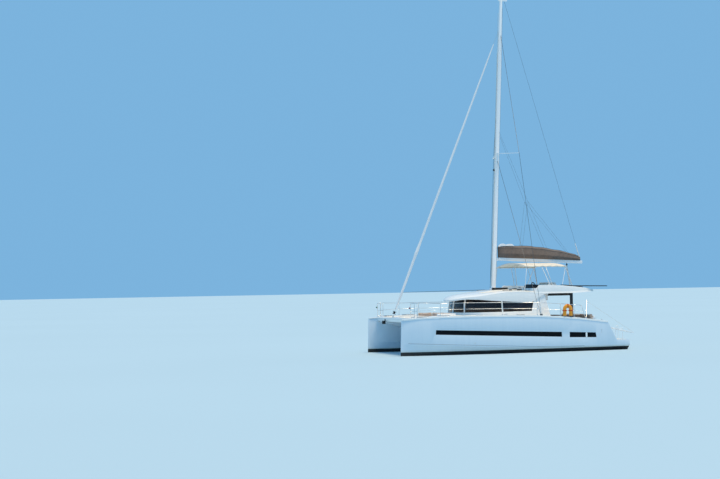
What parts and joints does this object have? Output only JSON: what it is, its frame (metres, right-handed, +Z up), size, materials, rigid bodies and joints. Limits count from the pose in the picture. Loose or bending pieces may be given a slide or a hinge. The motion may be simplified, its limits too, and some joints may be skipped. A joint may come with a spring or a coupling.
{
  "type": "sailing catamaran",
  "caption": "Cruising sailing catamaran with rigid foredeck, deck saloon, open cockpit, raised helm under a bimini, furled headsail and mainsail stowed on the boom.",
  "frame": {"origin": "on the waterline, on the centreline, midway between the stems and the sterns", "axes": "+X to the bow, +Y to port, +Z up"},
  "size_m": [12.4852, 6.7513, 19.12],
  "materials": {
    "gelcoat": "white polished gelcoat",
    "antifoul": "matt black antifouling",
    "deck": "off-white non-slip deck",
    "glass": "dark tinted",
    "spar": "anodised",
    "steel": "polished stainless",
    "bag": "taupe acrylic canvas",
    "cushion": "beige woven",
    "canvas": "cream acrylic canvas",
    "sailcloth": "white laminate with a grey sun strip",
    "orange": "orange cover",
    "black": "satin black",
    "wood": "oiled",
    "bronze": "cast bronze",
    "engine": "grey enamel",
    "panel": "solar cells under glass"
  },
  "bodies": {
    "root": {"hull_port": "gelcoat", "hull_starboard": "gelcoat", "keel_port": "antifoul", "keel_starboard": "antifoul", "hull_window_fore_port": "glass", "hull_window_fore_starboard": "glass", "hull_window_aft_port": "glass", "hull_window_aft_starboard": "glass", "bridge_deck": "gelcoat", "deck": "deck", "cabin_wall": "gelcoat", "glass_front": "glass", "glass_side_port": "glass", "glass_side_starboard": "glass", "roof": "gelcoat", "flybridge_coaming": "gelcoat", "aft_pillar_port": "black", "aft_pillar_starboard": "black", "aft_door": "glass", "cockpit_bench": "gelcoat", "cockpit_cushion": "cushion", "cockpit_table": "wood", "saloon_sofa": "cushion", "galley_unit": "wood", "foredeck_seat": "gelcoat", "foredeck_cushion": "cushion", "mast": "spar", "spreader_port": "spar", "spreader_starboard": "spar", "shroud_port": "steel", "shroud_starboard": "steel", "furled_jib": "sailcloth", "furler_drum": "black", "bimini_frame": "steel", "bimini_canopy": "canvas", "helm_console": "black", "helm_seat": "gelcoat", "guard_rail_port": "steel", "guard_rail_starboard": "steel", "lifebuoy": "orange", "flag_staff": "steel", "solar_panel": "panel", "anchor_roller": "steel", "gangway": "spar", "saildrive_port": "engine", "saildrive_starboard": "engine", "engine_port": "engine", "engine_starboard": "engine"},
    "boom": {"boom": "spar", "sail_bag": "bag"},
    "helm": {"helm_wheel": "steel"},
    "rudder_port": {"rudder_port": "antifoul"},
    "rudder_starboard": {"rudder_starboard": "antifoul"},
    "propeller_port": {"propeller_port": "bronze"},
    "propeller_starboard": {"propeller_starboard": "bronze"},
    "engine_hatch_port": {"engine_hatch_port": "deck"},
    "engine_hatch_starboard": {"engine_hatch_starboard": "deck"},
    "anchor_hatch": {"anchor_hatch": "deck"},
    "ladder": {"swim_ladder": "steel"}
  },
  "joints": [
    {"name": "boom_swing", "type": "hinge", "parent": "root", "child": "boom", "pos_m": [-0.272, 0, 4.635], "axis": [-0.0506, 0, 0.9987], "range_deg": [-60, 60]},
    {"name": "steering", "type": "hinge", "parent": "root", "child": "helm", "pos_m": [-1.79, 1.05, 3.18], "axis": [0.9664, 0, -0.2571], "range_deg": [-540, 540]},
    {"name": "rudder_port_turn", "type": "hinge", "parent": "root", "child": "rudder_port", "pos_m": [-4.93, 2.53, -0.2], "axis": [0, 0, 1], "range_deg": [-35, 35]},
    {"name": "rudder_starboard_turn", "type": "hinge", "parent": "root", "child": "rudder_starboard", "pos_m": [-4.93, -2.53, -0.2], "axis": [0, 0, 1], "range_deg": [-35, 35]},
    {"name": "propeller_port_spin", "type": "hinge", "parent": "root", "child": "propeller_port", "pos_m": [-4.2, 2.53, -0.72], "axis": [1, 0, 0], "continuous": true},
    {"name": "propeller_starboard_spin", "type": "hinge", "parent": "root", "child": "propeller_starboard", "pos_m": [-4.2, -2.53, -0.72], "axis": [1, 0, 0], "continuous": true},
    {"name": "engine_hatch_port_open", "type": "hinge", "parent": "root", "child": "engine_hatch_port", "pos_m": [-3.44, 2.52, 1.6196], "axis": [0, 1, 0], "range_deg": [0, 92]},
    {"name": "engine_hatch_starboard_open", "type": "hinge", "parent": "root", "child": "engine_hatch_starboard", "pos_m": [-3.44, -2.52, 1.6196], "axis": [0, 1, 0], "range_deg": [0, 92]},
    {"name": "anchor_hatch_open", "type": "hinge", "parent": "root", "child": "anchor_hatch", "pos_m": [4.35, 0, 1.8615], "axis": [0, -1, 0], "range_deg": [0, 92]},
    {"name": "ladder_fold", "type": "hinge", "parent": "root", "child": "ladder", "pos_m": [-6, -2.54, 0.5163], "axis": [0, -1, 0], "range_deg": [0, 262]}
  ],
  "couplings": [
    {"joint": "rudder_port_turn", "follows": "steering", "ratio": 0.0648},
    {"joint": "rudder_starboard_turn", "follows": "steering", "ratio": 0.0648}
  ]
}
